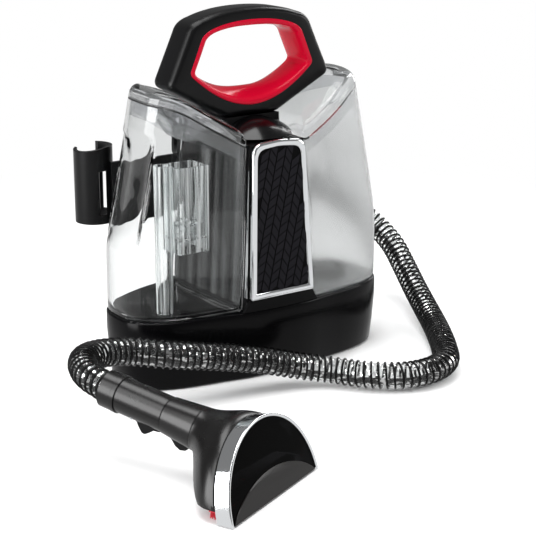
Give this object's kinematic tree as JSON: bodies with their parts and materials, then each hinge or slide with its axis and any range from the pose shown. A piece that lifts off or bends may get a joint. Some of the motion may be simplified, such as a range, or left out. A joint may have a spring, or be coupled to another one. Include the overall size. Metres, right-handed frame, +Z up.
{
  "type": "portable spot extractor",
  "caption": "Portable upright spot extractor: gloss base, two clear lift-off tanks, arched handle with red ring, ribbed suction hose and a hand tool with spray trigger.",
  "frame": {"origin": "on the floor, in the machine's plane of symmetry, under the widest line of the base", "axes": "+Z up, +X to the machine's clean-tank side, -Y the front with the chrome framed panel"},
  "size_m": [0.4917, 0.4333, 0.341],
  "materials": {
    "gloss_black_shell": "high gloss",
    "matte_black_plastic": "satin",
    "black_trigger_plastic": "fine grain",
    "red_plastic": "gloss",
    "red_bristle": "nylon filament",
    "chrome_trim": "bright plated",
    "clear_plastic": "clear, slightly smoky",
    "smoked_window": "dark smoky clear",
    "clear_tubing": "clear vinyl",
    "ribbed_hose": "smoky clear wall with black spiral rib",
    "black_rubber": "matte",
    "steel": "zinc plated",
    "motor_metal": "satin",
    "fan_aluminium": "cast",
    "natural_plastic": "natural, unpigmented"
  },
  "bodies": {
    "machine": {"base_housing": "gloss_black_shell", "bottom_cover": "matte_black_plastic", "foot_pads": "black_rubber", "base_screws": "steel", "tower_front": "matte_black_plastic", "tower_rear": "matte_black_plastic", "handle_front": "matte_black_plastic", "handle_rear": "matte_black_plastic", "handle_ring": "red_plastic", "front_bezel": "chrome_trim", "front_panel": "gloss_black_shell", "power_switch": "matte_black_plastic", "suction_motor": "motor_metal", "motor_mount": "black_rubber", "fan_housing": "matte_black_plastic", "suction_duct": "matte_black_plastic", "inlet_duct": "matte_black_plastic", "port_seal": "black_rubber", "air_seal": "black_rubber", "pump": "natural_plastic", "pump_inlet_tube": "clear_tubing", "pump_outlet_tube": "clear_tubing", "valve_seat": "black_rubber", "hose_port": "matte_black_plastic", "hose_cuff": "matte_black_plastic", "cord_gland": "black_rubber", "cord_hook_lower": "matte_black_plastic", "tool_clip": "matte_black_plastic", "hose": "ribbed_hose", "solution_line": "black_rubber", "hose_collar": "matte_black_plastic", "grip_upper": "matte_black_plastic", "grip_lower": "matte_black_plastic", "grip_tube": "matte_black_plastic", "trigger_pin": "steel", "spray_valve": "natural_plastic"},
    "power_button": {"power_button": "gloss_black_shell"},
    "fan": {"fan_impeller": "fan_aluminium"},
    "waste_tank": {"waste_tank": "clear_plastic", "waste_lid": "clear_plastic", "waste_gasket": "black_rubber", "standpipe": "clear_plastic", "float_shield": "clear_plastic"},
    "float": {"float": "natural_plastic"},
    "clean_tank": {"clean_tank": "clear_plastic", "clean_top": "clear_plastic", "filler_cap": "matte_black_plastic"},
    "valve_poppet": {"valve_poppet": "natural_plastic"},
    "cord_hook": {"cord_hook_upper": "matte_black_plastic"},
    "trigger": {"trigger": "black_trigger_plastic"},
    "tool_head": {"tool_neck": "matte_black_plastic", "tool_body": "gloss_black_shell", "tool_trim": "chrome_trim", "tool_window": "smoked_window", "tool_brush": "red_bristle", "spray_tip": "natural_plastic"},
    "tool_release": {"tool_release": "black_trigger_plastic"}
  },
  "joints": [
    {"name": "power_button_press", "type": "slide", "parent": "machine", "child": "power_button", "axis": [0, 0, 1], "range_m": [-0.0025, 0], "stiffness_N_per_m": 400},
    {"name": "fan_spin", "type": "hinge", "parent": "machine", "child": "fan", "pos_m": [0, -0.002, 0.03], "axis": [0, 0, 1], "continuous": true},
    {"name": "waste_tank_lift_off", "type": "slide", "parent": "machine", "child": "waste_tank", "axis": [-0.9397, 0, 0.342], "range_m": [0, 0.14]},
    {"name": "float_rise", "type": "slide", "parent": "waste_tank", "child": "float", "axis": [0, 0, 1], "range_m": [0, 0.05]},
    {"name": "clean_tank_lift_off", "type": "slide", "parent": "machine", "child": "clean_tank", "axis": [0.9397, 0, 0.342], "range_m": [0, 0.14]},
    {"name": "valve_lift", "type": "slide", "parent": "clean_tank", "child": "valve_poppet", "axis": [0, 0, 1], "range_m": [0, 0.003], "stiffness_N_per_m": 150},
    {"name": "cord_hook_turn", "type": "hinge", "parent": "machine", "child": "cord_hook", "pos_m": [-0.016, 0.07, 0.192], "axis": [0, 1, 0], "range_deg": [0, 180]},
    {"name": "trigger_squeeze", "type": "hinge", "parent": "machine", "child": "trigger", "pos_m": [-0.22033, -0.17123, 0.04306], "axis": [-0.9107, -0.4131, 0], "range_deg": [0, 7], "stiffness_Nm_per_rad": 0.15},
    {"name": "tool_head_pull_off", "type": "slide", "parent": "machine", "child": "tool_head", "axis": [0.4059, -0.8948, -0.1857], "range_m": [0, 0.03]},
    {"name": "tool_release_press", "type": "slide", "parent": "tool_head", "child": "tool_release", "axis": [0.0767, -0.1691, 0.9826], "range_m": [0, 0.0025], "stiffness_N_per_m": 300}
  ]
}
